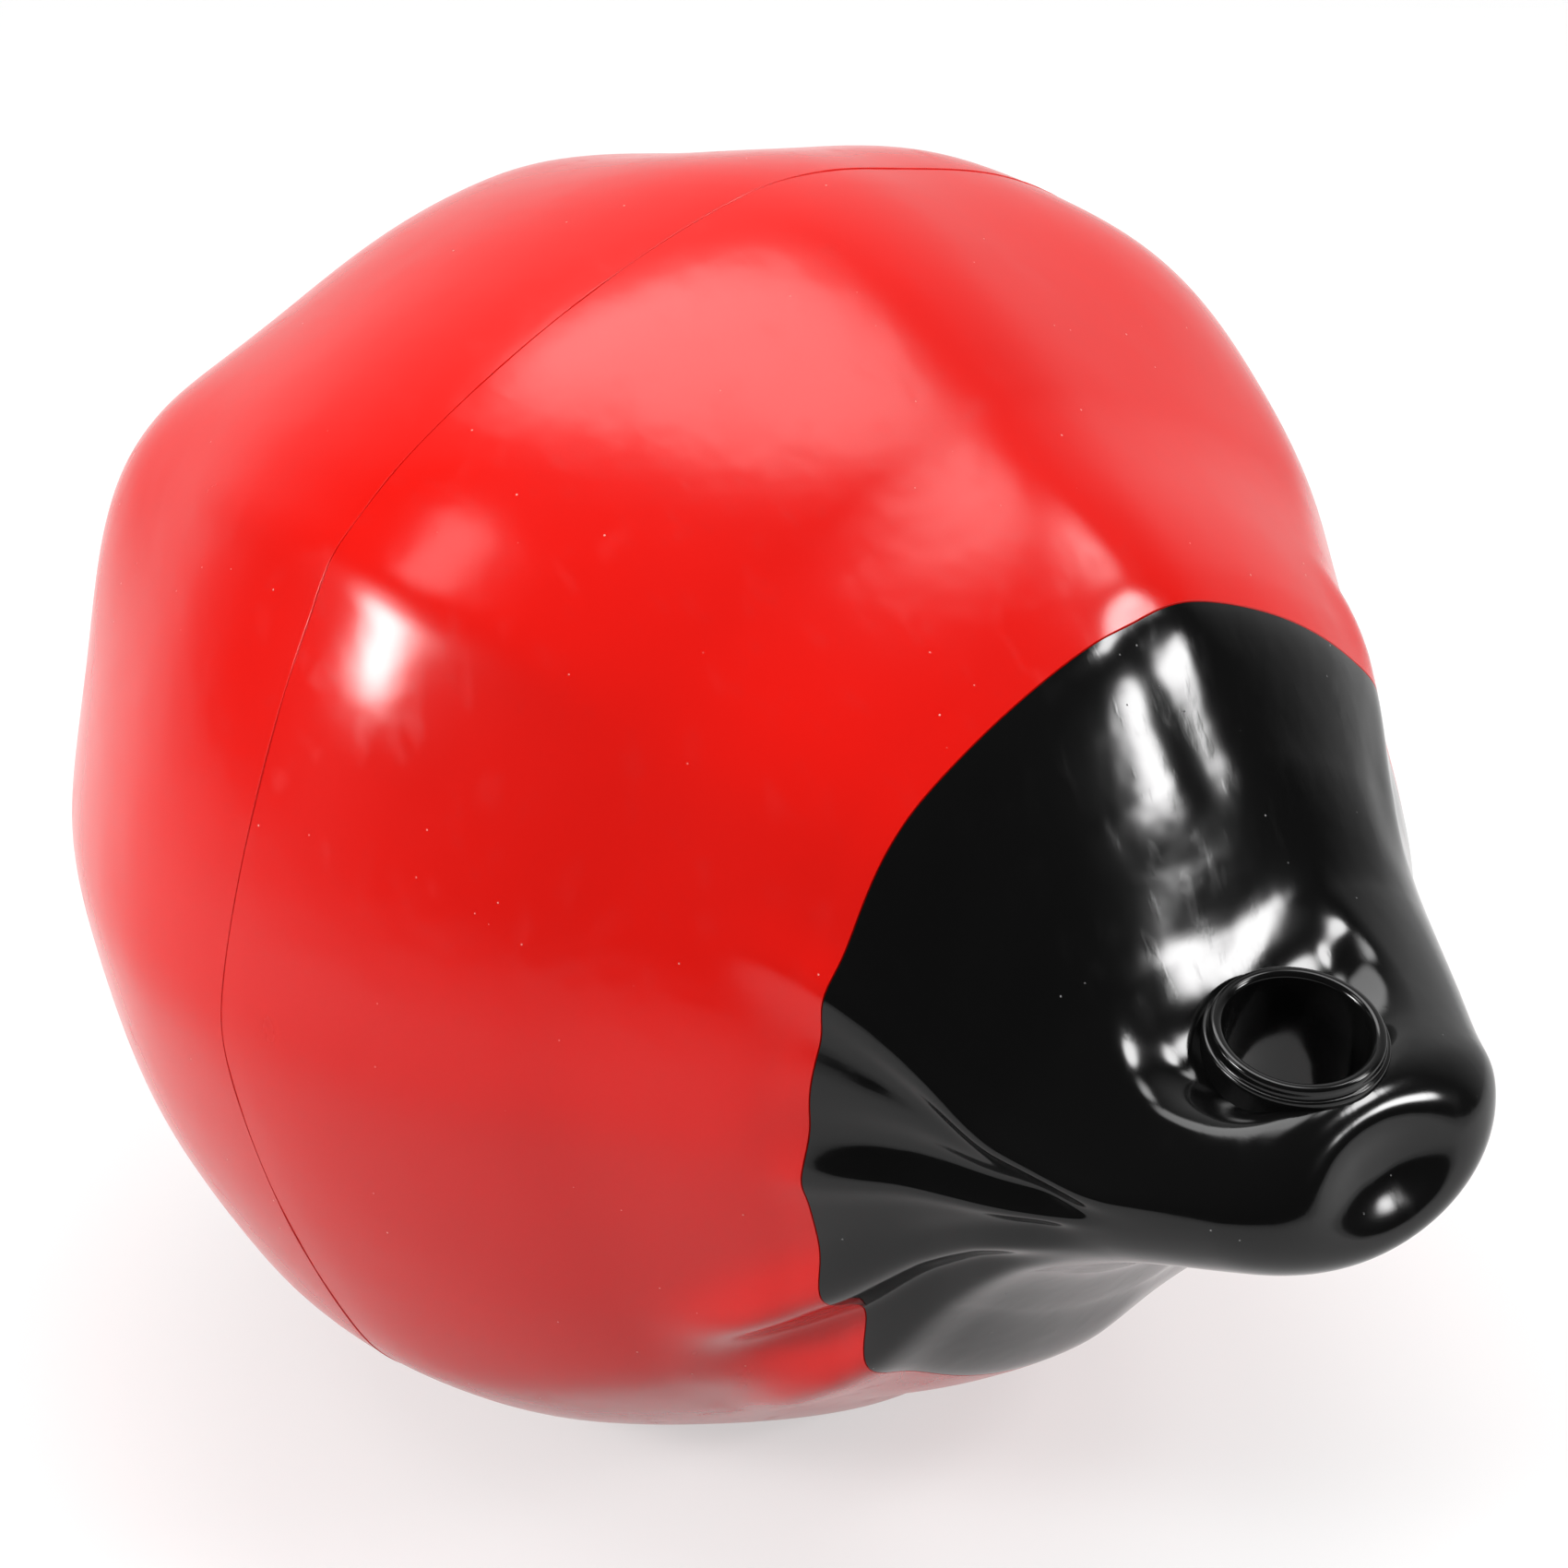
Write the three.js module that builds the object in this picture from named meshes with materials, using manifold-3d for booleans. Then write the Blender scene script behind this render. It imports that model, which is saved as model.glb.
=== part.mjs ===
// A ball fender: a soft red plastic ball, partly filled with air, and the black neck that holds its rope.
// It lies on its side. Millimetres: +X runs along the axis to the rope eye, +Z is up, and the origin is the
// middle of the flat patch that the ball lies on. An angle round the axis starts at the top and runs to -Y.
import * as THREE from 'three';
import { mergeVertices } from 'three/addons/utils/BufferGeometryUtils.js';
import Module from 'manifold-3d';

const wasm = await Module();
wasm.setup();

// Ball. A reach is a distance from the middle of the ball along the axis.
const ballDiameter = 300;
const restHeight = 138;
const shoulderReach = 86;
const colourReach = 134;
const colourRadius = 91;

// Neck, flattened from a round cone to a bar
const coneReach = 151;
const coneHalfWidth = 76;
const coneTop = 63;
const coneUnder = 62;
const throatReach = 167;
const throatHalfWidth = 66;
const throatTop = 35;
const throatUnder = 40;
const neckReach = 186;
const neckHalfWidth = 54;
const neckTop = 22;
const neckUnder = 27;
const tipReach = 204;
const tipHalfWidth = 42;
const tipTop = 17.5;
const tipUnder = 23;
const endReach = 220;
const endTaper = 0.22;
const endLean = 0.22;
const bendReach = 128;
const neckDroop = 4;
const neckTurn = -5;
const neckRoll = 6;

// Rope eye
const eyeReach = 185.5;
const eyeRadius = 15.5;
const eyeLean = 14;
const eyeRoll = 6;
const lipWidth = 3;
const lipTop = 23.5;
const lipUnder = 22;
const lipRise = 2.6;
const lipRound = 1.6;
const flangeWidth = 1.2;
const rimFlare = 1.4;
const basinLength = 32;
const basinWidth = 37;
const basinDepth = 4.2;
const basinSetback = 9;
const basinBack = 24;
const basinWall = 20;
const dimpleLength = 36;
const dimpleHeight = 20;
const dimpleDepth = 6;
const dimpleAside = -3;
const dimpleRise = 1.5;

// Air valve
const valveReach = 148;
const valveAngle = -112;
const valveDiameter = 10;
const valveLength = 9;
const valveProud = 0.6;
const valveChamfer = 0.8;
const needleDiameter = 2;
const needleDepth = 6;
const needleMouth = 1;

// Gap between pieces that touch
const seatGap = 0.3;

// Fineness of the surface
const sidesRound = 72;
const ballStep = 6;
const neckRows = 22;
const endRows = 6;

// Flat faces that the slack skin falls into round the axis: [middle angle, share of the full radius there]
const flutes = [
  [21, 0.955],
  [70, 0.97],
  [111, 0.97],
  [153, 0.96],
  [198, 0.955],
  [242, 0.965],
  [288, 0.965],
  [330, 0.965],
];
const fluteStrength = 0.5;
// The same from front to back, with the corner at the moulding seam: [angle off the axis, share]
const halves = [
  [58, 0.965],
  [122, 0.965],
];
const halfStrength = 0.25;
// How far the corners stand out at most, and how softly they turn
const cornerShare = 1.025;
const fluteSoftness = 0.012;
const halfSoftness = 0.02;

// Swells and hollows: [angle off the axis, angle round it, height, spread in degrees].
// Heights here, and reaches, heights and widths of the creases, are shares of the ball's radius.
const swells = [
  [76, -41, 0.06, 15],
  [91, -27, 0.033, 12],
  [104, -9, -0.037, 13],
  [123, 13, 0.02, 14],
  [130, 52, 0.067, 13],
  [104, 110, 0.013, 12],
  [74, 144, 0.017, 12],
  [41, -174, -0.113, 16],
  [57, -58, 0.027, 11],
  [35, -66, -0.033, 12],
  [30, -172, -0.03, 10],
  [48, 2, 0.012, 9],
  [76, 58, 0.012, 8],
];

// Creases that run from the ball to the neck: [[reach, angle] at both ends, height, half width]
const creases = [
  [[-0.5, 50], [0.61, 50], 0.009, 0.06],
  [[0.71, 65], [1.35, 78], 0.017, 0.047],
  [[0.84, 73], [1.23, 79], -0.012, 0.033],
  [[0.81, 89], [1.26, 83], -0.024, 0.047],
  [[0.81, 96], [1.27, 90], 0.012, 0.027],
  [[0.92, 111], [1.23, 97], -0.017, 0.04],
  [[0.6, 124], [1.24, 104], 0.036, 0.06],
  [[0.6, 132], [1.22, 109], -0.033, 0.053],
  [[0.47, 152], [1.24, 112], 0.027, 0.06],
  [[0.85, 3], [1.07, -10], -0.012, 0.053],
  [[1.05, -4], [1.28, 0], -0.058, 0.1],
  [[0.72, -47], [1.07, -66], 0.013, 0.053],
];

const ballRadius = ballDiameter / 2;
const shoulderRadius = Math.sqrt(ballRadius ** 2 - shoulderReach ** 2);
const stations = {
  reach: [shoulderReach, colourReach, coneReach, throatReach, neckReach, tipReach],
  side: [shoulderRadius, colourRadius, coneHalfWidth, throatHalfWidth, neckHalfWidth, tipHalfWidth],
  top: [shoulderRadius, colourRadius, coneTop, throatTop, neckTop, tipTop],
  under: [shoulderRadius, colourRadius, coneUnder, throatUnder, neckUnder, tipUnder],
};
const { degToRad, radToDeg, smoothstep, lerp } = THREE.MathUtils;

// A smooth curve through the stations that never overshoots them
function through(heights, reach) {
  const xs = stations.reach;
  const slope = (i) => (heights[i + 1] - heights[i]) / (xs[i + 1] - xs[i]);
  const tangent = (i) => {
    if (i === 0) return -shoulderReach / shoulderRadius;
    if (i === xs.length - 1) return (-endTaper * heights[i]) / (endReach - tipReach);
    const [before, after] = [slope(i - 1), slope(i)];
    return before * after > 0 ? (2 * before * after) / (before + after) : 0;
  };
  const i = Math.max(0, xs.findLastIndex((x, k) => x <= reach && k < xs.length - 1));
  const width = xs[i + 1] - xs[i];
  const t = Math.min(1, (reach - xs[i]) / width);
  const [h0, h1] = [heights[i], heights[i + 1]];
  const rise = t * t * (3 - 2 * t);
  return lerp(h0, h1, rise)
    + width * t * (1 - t) ** 2 * tangent(i)
    - width * t * t * (1 - t) * tangent(i + 1);
}

// Radius of the plain turned form, before the neck is flattened
function turnedRadius(reach) {
  if (reach < shoulderReach) return Math.sqrt(Math.max(0, ballRadius ** 2 - reach ** 2));
  return through(stations.side, reach);
}

// The smallest of some values, with the corners between them rounded
function softLeast(values, softness) {
  const least = Math.min(...values);
  const sum = values.reduce((total, value) => total + Math.exp((least - value) / softness), 0);
  return least - softness * Math.log(sum);
}

// Share of the radius that a ring of flat faces leaves at an angle
function flatShare(angle, faces, softness) {
  const shares = faces.map(([middle, share]) => share / Math.max(0.6, Math.cos(degToRad(angle - middle))));
  return softLeast([...shares, cornerShare], softness);
}

const bell = (offset) => Math.exp(-offset * offset);

function directionAt(offAxis, around) {
  const [t, a] = [degToRad(offAxis), degToRad(around)];
  return new THREE.Vector3(Math.cos(t), -Math.sin(t) * Math.sin(a), Math.sin(t) * Math.cos(a));
}

// How far the slack skin stands out at a reach and an angle, as a share of the radius
function slackShare(reach, angle) {
  const radius = turnedRadius(reach);
  const offAxis = radToDeg(Math.atan2(radius, reach));
  const fluted = fluteStrength * smoothstep(offAxis, 8, 40) * smoothstep(-offAxis, -180, -140);
  const halved = halfStrength * smoothstep(offAxis, 20, 50) * smoothstep(-offAxis, -180, -150);
  const toward = directionAt(offAxis, angle);
  const swell = swells.reduce((total, [off, around, height, spread]) => {
    const apart = radToDeg(toward.angleTo(directionAt(off, around)));
    return total + height * bell(apart / spread);
  }, 0);
  const share = fluted * (flatShare(angle, flutes, fluteSoftness) - 1)
    + halved * (flatShare(offAxis, halves, halfSoftness) - 1)
    + swell;
  return share * smoothstep(-reach, -neckReach, -colourReach);
}

// How far the creases lift or sink the skin
function creaseHeight(reach, angle, radius) {
  const heights = creases.map(([[startReach, startAngle], [stopReach, stopAngle], height, halfWidth]) => {
    const along = (reach / ballRadius - startReach) / (stopReach - startReach);
    const middle = lerp(startAngle, stopAngle, along);
    const apart = (degToRad(angle - middle) * radius) / ballRadius;
    const fade = smoothstep(along, 0, 0.35) * smoothstep(-along, -1, -0.75);
    return ballRadius * height * fade * bell(apart / halfWidth);
  });
  return heights.reduce((total, height) => total + height);
}

// The neck sags under its own weight, is rolled a little, and swings aside, most of all at the rope eye
function bend(point) {
  const past = Math.max(0, point.x - bendReach) / (endReach - bendReach);
  const roll = degToRad(neckRoll) * smoothstep(point.x, bendReach, neckReach);
  point.applyAxisAngle(new THREE.Vector3(1, 0, 0), roll);
  point.y += neckTurn * Math.sin(0.8 * Math.PI * past);
  point.z -= neckDroop * past ** 2.5;
  return point;
}

// Moves a point of the plain turned form to its place on the slack, flattened and bent one
function shape(point) {
  const { x, y, z } = point;
  const radius = Math.max(1, turnedRadius(Math.min(x, tipReach)));
  const share = Math.hypot(y, z) / radius;
  const angle = radToDeg(Math.atan2(-y, z));
  const lift = creaseHeight(x, angle, radius) / radius;
  const scale = 1 + slackShare(Math.min(x, tipReach), angle) + lift;
  const height = through(z > 0 ? stations.top : stations.under, Math.min(x, tipReach)) / radius;
  point.y = y * scale;
  point.z = z * scale * (x > shoulderReach ? height : 1);
  const eyeDistance = Math.hypot((x - eyeReach + basinSetback) / basinLength, (y * scale) / basinWidth);
  const wall = smoothstep(x, eyeReach - basinBack, eyeReach - basinBack + basinWall);
  const basin = basinDepth * (1 - smoothstep(eyeDistance, 0.6, 1.02)) * wall;
  point.z -= basin * Math.min(1, share) * smoothstep(point.z, 0, neckTop / 2);
  const aside = (y - dimpleAside) / dimpleLength;
  const above = (z * height - dimpleRise) / dimpleHeight;
  const dimple = dimpleDepth * bell((2 * Math.hypot(aside, above)) ** 1.2);
  point.x -= (dimple + endLean * point.z) * smoothstep(x, tipReach, endReach);
  return bend(point);
}

// Closed solid from a geometry whose seam and poles are still open
function solidOf(geometry) {
  geometry.deleteAttribute('normal');
  geometry.deleteAttribute('uv');
  const merged = mergeVertices(geometry, 1e-3);
  const corners = merged.index.array;
  const faces = [];
  for (let i = 0; i < corners.length; i += 3) {
    const [a, b, c] = corners.slice(i, i + 3);
    if (a !== b && b !== c && c !== a) faces.push(a, b, c);
  }
  const mesh = new wasm.Mesh({
    numProp: 3,
    vertProperties: new Float32Array(merged.attributes.position.array),
    triVerts: new Uint32Array(faces),
  });
  return new wasm.Manifold(mesh);
}

function geometryOf(solid) {
  const { vertProperties, triVerts } = solid.getMesh();
  const geometry = new THREE.BufferGeometry();
  geometry.setAttribute('position', new THREE.BufferAttribute(vertProperties, 3));
  geometry.setIndex(new THREE.BufferAttribute(triVerts, 1));
  geometry.computeVertexNormals();
  return geometry;
}

// A profile of [radius, height] turned about the X axis
function turned(profile, sides) {
  const points = profile.map(([radius, height]) => new THREE.Vector2(radius, height));
  return new THREE.LatheGeometry(points, sides).rotateZ(-Math.PI / 2);
}

// A profile of [radius, height] turned about an axis through a point
function turnedAbout(profile, sides, point, axis) {
  const turn = new THREE.Quaternion().setFromUnitVectors(new THREE.Vector3(1, 0, 0), axis);
  const place = new THREE.Matrix4().compose(point, turn, new THREE.Vector3(1, 1, 1));
  return solidOf(turned(profile, sides).applyMatrix4(place));
}

function shaped(profile) {
  const geometry = turned(profile, sidesRound);
  const position = geometry.attributes.position;
  const point = new THREE.Vector3();
  for (let i = 0; i < position.count; i += 1) {
    shape(point.fromBufferAttribute(position, i));
    position.setXYZ(i, ...point);
  }
  return solidOf(geometry);
}

function rows(count, at) {
  return Array.from({ length: count }, (_, i) => at(i / (count - 1)));
}

// Point on the shaped skin and the way out of it
function skinAt(reach, angle) {
  const on = (r, a) => {
    const radius = turnedRadius(r);
    const turn = degToRad(a);
    return shape(new THREE.Vector3(r, -radius * Math.sin(turn), radius * Math.cos(turn)));
  };
  const along = on(reach + 2, angle).sub(on(reach - 2, angle));
  const around = on(reach, angle + 2).sub(on(reach, angle - 2));
  return { point: on(reach, angle), out: around.cross(along).normalize() };
}

function ballSolid() {
  const face = colourReach - seatGap / 2;
  const backAngle = 180;
  const shoulderAngle = radToDeg(Math.atan2(shoulderRadius, shoulderReach));
  const steps = Math.round((backAngle - shoulderAngle) / ballStep) + 1;
  const round = rows(steps, (t) => {
    const angle = degToRad(lerp(backAngle, shoulderAngle, t));
    return [t === 0 ? 0 : ballRadius * Math.sin(angle), ballRadius * Math.cos(angle)];
  });
  const cone = rows(7, (t) => {
    const reach = lerp(shoulderReach, face, t);
    return [turnedRadius(reach), reach];
  }).slice(1);
  const ball = shaped([...round, ...cone, [0, face]]);
  const floor = new THREE.BoxGeometry(ballDiameter, ballDiameter, ballDiameter);
  floor.translate(0, 0, -restHeight - ballDiameter / 2);
  return ball.subtract(solidOf(floor)).subtract(valvePocket());
}

function eyeAxis() {
  return directionAt(90 - eyeLean, eyeRoll);
}

function eyeMiddle() {
  return bend(new THREE.Vector3(eyeReach, 0, 0));
}

// Raised lip on a low flange, the same above and below
function eyeCollar() {
  const lip = eyeRadius + lipWidth;
  const flange = lip + flangeWidth;
  const collar = [
    [0, -lipUnder],
    [lip - lipRound, -lipUnder],
    [lip - 0.3 * lipRound, -lipUnder + 0.3 * lipRound],
    [lip, -lipUnder + lipRound],
    [lip, -lipUnder + lipRise],
    [flange, -lipUnder + lipRise],
    [flange, lipTop - lipRise],
    [lip, lipTop - lipRise],
    [lip, lipTop - lipRound],
    [lip - 0.3 * lipRound, lipTop - 0.3 * lipRound],
    [lip - lipRound, lipTop],
    [0, lipTop],
  ];
  return turnedAbout(collar, 40, eyeMiddle(), eyeAxis());
}

// The hole for the rope, widened at both rims
function eyeHole() {
  const flare = eyeRadius + rimFlare;
  const clear = neckHalfWidth;
  const hole = [
    [0, -clear],
    [flare, -clear],
    [flare, -lipUnder],
    [eyeRadius + 0.3 * rimFlare, -lipUnder + 0.4 * rimFlare],
    [eyeRadius, -lipUnder + 1.6 * rimFlare],
    [eyeRadius, lipTop - 1.6 * rimFlare],
    [eyeRadius + 0.3 * rimFlare, lipTop - 0.4 * rimFlare],
    [flare, lipTop],
    [flare, clear],
    [0, clear],
  ];
  return turnedAbout(hole, 40, eyeMiddle(), eyeAxis());
}

// The pocket also cuts the ball where it reaches past the colour border
function valvePocket() {
  const { point, out } = skinAt(valveReach, valveAngle);
  const radius = valveDiameter / 2 + seatGap;
  const depth = valveLength + seatGap;
  const pocket = [
    [0, -depth],
    [radius, -depth],
    [radius, valveLength],
    [0, valveLength],
  ];
  return turnedAbout(pocket, 24, point, out);
}

function ropeHoldSolid() {
  const face = colourReach + seatGap / 2;
  const neck = rows(neckRows, (t) => {
    const reach = lerp(face, tipReach, t);
    return [turnedRadius(reach), reach];
  });
  const end = rows(endRows, (t) => {
    const angle = (t * Math.PI) / 2;
    const along = Math.sin(angle) ** 0.8;
    const radius = t === 1 ? 0 : tipHalfWidth * Math.cos(angle) ** 0.6 * (1 - endTaper * along);
    return [radius, lerp(tipReach, endReach, along)];
  }).slice(1);
  return shaped([[0, face], ...neck, ...end])
    .add(eyeCollar())
    .subtract(eyeHole())
    .subtract(valvePocket());
}

// Rubber plug with a hole for the pump's needle
function valveSolid() {
  const { point, out } = skinAt(valveReach, valveAngle);
  const radius = valveDiameter / 2;
  const needle = needleDiameter / 2;
  const plug = [
    [0, -valveLength],
    [radius, -valveLength],
    [radius, valveProud - valveChamfer],
    [radius - valveChamfer, valveProud],
    [needle + needleMouth, valveProud],
    [needle, valveProud - needleMouth],
    [needle, valveProud - needleDepth],
    [0, valveProud - needleDepth],
  ];
  return turnedAbout(plug, 24, point, out);
}

function piece(name, solid, material) {
  const mesh = new THREE.Mesh(geometryOf(solid), material);
  mesh.name = name;
  return mesh;
}

const redVinyl = new THREE.MeshStandardMaterial({ color: 0xd2140e, roughness: 0.22, metalness: 0 });
const blackVinyl = new THREE.MeshStandardMaterial({ color: 0x0c0c0c, roughness: 0.16, metalness: 0 });
const blackRubber = new THREE.MeshStandardMaterial({ color: 0x1a1a1a, roughness: 0.7, metalness: 0 });

const fender = new THREE.Group();
fender.add(
  piece('ball', ballSolid(), redVinyl),
  piece('rope_hold', ropeHoldSolid(), blackVinyl),
  piece('air_valve', valveSolid(), blackRubber),
);
fender.position.z = restHeight;

export default fender;
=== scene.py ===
"""Ball fender: a slack red vinyl ball with a black neck and rope eye, on its side on a white table.

The form is worked out in millimetres from the middle of the ball, with +X along the axis to the rope
eye and +Z up, and is set into the frame in metres. An angle round the axis starts at the top and runs
to -Y.
"""

import logging
import math
from collections.abc import Sequence
from dataclasses import dataclass
from enum import Enum

import bmesh
import bpy
import numpy as np
from mathutils import Matrix, Quaternion, Vector


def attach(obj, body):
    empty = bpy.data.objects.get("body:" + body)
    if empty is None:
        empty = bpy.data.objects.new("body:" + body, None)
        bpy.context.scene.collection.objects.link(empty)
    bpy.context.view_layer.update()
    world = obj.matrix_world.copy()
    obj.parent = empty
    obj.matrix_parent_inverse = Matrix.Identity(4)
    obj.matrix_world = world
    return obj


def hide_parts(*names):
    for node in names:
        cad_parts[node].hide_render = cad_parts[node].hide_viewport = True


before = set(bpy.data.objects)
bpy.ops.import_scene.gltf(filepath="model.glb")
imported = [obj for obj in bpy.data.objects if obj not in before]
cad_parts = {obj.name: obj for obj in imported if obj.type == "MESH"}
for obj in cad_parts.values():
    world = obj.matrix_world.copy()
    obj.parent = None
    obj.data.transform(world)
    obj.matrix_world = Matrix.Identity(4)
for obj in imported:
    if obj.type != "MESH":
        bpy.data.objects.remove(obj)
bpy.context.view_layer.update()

LOG = logging.getLogger("ball_fender")
MM = 0.001
MERGE_DISTANCE = 0.001 * MM
SHARP_ANGLE = math.radians(38)


class Shading(Enum):
    """How a piece's faces are shaded."""

    SMOOTH = "smooth"
    CREASED = "creased"


class Cut(Enum):
    """What a tool does to the piece that it meets."""

    JOIN = "UNION"
    REMOVE = "DIFFERENCE"


@dataclass(frozen=True)
class Flat:
    """A flat face that the slack skin falls into: its middle angle and its share of the full radius."""

    angle: float
    share: float


@dataclass(frozen=True)
class Swell:
    """A swell, or a hollow where height is below 0, its height a share of the ball's radius."""

    off_axis: float
    around: float
    height: float
    spread: float


@dataclass(frozen=True)
class Crease:
    """A ridge, or a valley where height is below 0, from one reach and angle to another.

    The reaches, the height and the half width are shares of the ball's radius.
    """

    start: tuple[float, float]
    stop: tuple[float, float]
    height: float
    half_width: float


def smooth_step(value: np.ndarray, low: float, high: float) -> np.ndarray:
    """A soft step from 0 at low to 1 at high.

    Args:
        value: the values to step.
        low: where the step starts.
        high: where the step ends.

    Returns:
        The step at each value.
    """
    t = np.clip((value - low) / (high - low), 0, 1)
    return t * t * (3 - 2 * t)


def bell(offset: np.ndarray) -> np.ndarray:
    """A bell of height 1 and half width 1."""
    return np.exp(-(offset**2))


def direction(off_axis: np.ndarray, around: np.ndarray) -> np.ndarray:
    """The way out from the middle at an angle off the axis and one round it, in degrees."""
    t, a = np.radians(off_axis), np.radians(around)
    return np.stack([np.cos(t) * np.ones_like(a), -np.sin(t) * np.sin(a), np.sin(t) * np.cos(a)], -1)


def between(value: np.ndarray, start: tuple[float, float], stop: tuple[float, float]) -> np.ndarray:
    """A soft band that rises from 0 to 1 over the start and falls back to 0 over the stop."""
    return smooth_step(value, *start) * smooth_step(-value, -stop[1], -stop[0])


def turn_towards(way: Vector) -> Matrix:
    """The turn that brings the local X axis to a way."""
    return Vector((1, 0, 0)).rotation_difference(way).to_matrix().to_4x4()


@dataclass(frozen=True)
class SlackForm:
    """The outer form of the fender as it lies: sizes in millimetres, angles in degrees.

    Each station of the neck (cone, throat, neck and tip) holds its reach, its half width, the height of
    its top and the depth of its underside. The starts and stops of the flutes and halves are angles off
    the axis, and those of the creases are shares of their length.
    """

    radius: float = 150.0
    rest_height: float = 138.0
    shoulder_reach: float = 86.0
    colour_reach: float = 134.0
    colour_radius: float = 91.0
    cone: tuple[float, float, float, float] = (151.0, 76.0, 63.0, 62.0)
    throat: tuple[float, float, float, float] = (167.0, 66.0, 35.0, 40.0)
    neck: tuple[float, float, float, float] = (186.0, 54.0, 22.0, 27.0)
    tip: tuple[float, float, float, float] = (204.0, 42.0, 17.5, 23.0)
    end_reach: float = 220.0
    end_taper: float = 0.22
    end_lean: float = 0.22
    bend_reach: float = 128.0
    droop: float = 4.0
    turn: float = -5.0
    roll: float = 6.0
    eye_reach: float = 185.5
    basin_length: float = 32.0
    basin_width: float = 37.0
    basin_depth: float = 4.2
    basin_setback: float = 9.0
    basin_back: float = 24.0
    basin_wall: float = 20.0
    basin_floor: float = 0.6
    basin_rim: float = 1.02
    dimple_length: float = 36.0
    dimple_height: float = 20.0
    dimple_depth: float = 6.0
    dimple_aside: float = -3.0
    dimple_rise: float = 1.5
    dimple_sharpness: float = 1.2
    patch_softness: float = 0.8
    flute_strength: float = 0.5
    flute_softness: float = 0.012
    flute_start: tuple[float, float] = (8.0, 40.0)
    flute_stop: tuple[float, float] = (140.0, 180.0)
    half_strength: float = 0.25
    half_softness: float = 0.02
    half_start: tuple[float, float] = (20.0, 50.0)
    half_stop: tuple[float, float] = (150.0, 180.0)
    corner_share: float = 1.025
    widest_flat: float = 0.6
    crease_start: float = 0.35
    crease_stop: float = 0.75
    swing_share: float = 0.8
    droop_power: float = 2.5
    flutes: tuple[Flat, ...] = (
        Flat(21, 0.955),
        Flat(70, 0.970),
        Flat(111, 0.970),
        Flat(153, 0.960),
        Flat(198, 0.955),
        Flat(242, 0.965),
        Flat(288, 0.965),
        Flat(330, 0.965),
    )
    halves: tuple[Flat, ...] = (Flat(58, 0.965), Flat(122, 0.965))
    swells: tuple[Swell, ...] = (
        Swell(76, -41, 0.060, 15),
        Swell(91, -27, 0.033, 12),
        Swell(104, -9, -0.037, 13),
        Swell(123, 13, 0.020, 14),
        Swell(130, 52, 0.067, 13),
        Swell(104, 110, 0.013, 12),
        Swell(74, 144, 0.017, 12),
        Swell(41, -174, -0.113, 16),
        Swell(57, -58, 0.027, 11),
        Swell(35, -66, -0.033, 12),
        Swell(30, -172, -0.030, 10),
        Swell(48, 2, 0.012, 9),
        Swell(76, 58, 0.012, 8),
    )
    creases: tuple[Crease, ...] = (
        Crease((-0.50, 50), (0.61, 50), 0.009, 0.060),
        Crease((0.71, 65), (1.35, 78), 0.017, 0.047),
        Crease((0.84, 73), (1.23, 79), -0.012, 0.033),
        Crease((0.81, 89), (1.26, 83), -0.024, 0.047),
        Crease((0.81, 96), (1.27, 90), 0.012, 0.027),
        Crease((0.92, 111), (1.23, 97), -0.017, 0.040),
        Crease((0.60, 124), (1.24, 104), 0.036, 0.060),
        Crease((0.60, 132), (1.22, 109), -0.033, 0.053),
        Crease((0.47, 152), (1.24, 112), 0.027, 0.060),
        Crease((0.85, 3), (1.07, -10), -0.012, 0.053),
        Crease((1.067, -4), (1.353, 2), -0.060, 0.133),
        Crease((0.72, -47), (1.07, -66), 0.013, 0.053),
    )

    @property
    def shoulder_radius(self) -> float:
        """Radius of the ball where the cone leaves it."""
        return math.sqrt(self.radius**2 - self.shoulder_reach**2)

    @property
    def shoulder_angle(self) -> float:
        """Angle off the axis where the cone leaves the ball, in radians."""
        return math.atan2(self.shoulder_radius, self.shoulder_reach)

    def through(self, which: int, reach: np.ndarray) -> np.ndarray:
        """A smooth curve through the neck's stations.

        Args:
            which: 1 for the half width, 2 for the height of the top, 3 for the depth of the underside.
            reach: distances along the axis.

        Returns:
            The chosen size at each distance.
        """
        stations = (self.cone, self.throat, self.neck, self.tip)
        xs = np.array([self.shoulder_reach, self.colour_reach] + [s[0] for s in stations])
        heights = np.array([self.shoulder_radius, self.colour_radius] + [s[which] for s in stations])
        slopes = np.diff(heights) / np.diff(xs)
        tangents = np.empty(len(xs))
        tangents[0] = -self.shoulder_reach / self.shoulder_radius
        tangents[-1] = -self.end_taper * heights[-1] / (self.end_reach - self.tip[0])
        for i in range(1, len(xs) - 1):
            before, after = slopes[i - 1], slopes[i]
            tangents[i] = 2 * before * after / (before + after) if before * after > 0 else 0
        i = np.clip(np.searchsorted(xs, reach, "right") - 1, 0, len(xs) - 2)
        width = xs[i + 1] - xs[i]
        t = np.minimum((reach - xs[i]) / width, 1)
        rise = (heights[i + 1] - heights[i]) * t * t * (3 - 2 * t)
        lead = width * t * (1 - t) ** 2 * tangents[i] - width * t * t * (1 - t) * tangents[i + 1]
        return heights[i] + rise + lead

    def turned_radius(self, reach: np.ndarray) -> np.ndarray:
        """Radius of the plain turned form, before the neck is flattened."""
        ball = np.sqrt(np.maximum(0, self.radius**2 - reach**2))
        neck = self.through(1, np.maximum(reach, self.shoulder_reach))
        return np.where(reach < self.shoulder_reach, ball, neck)

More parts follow.
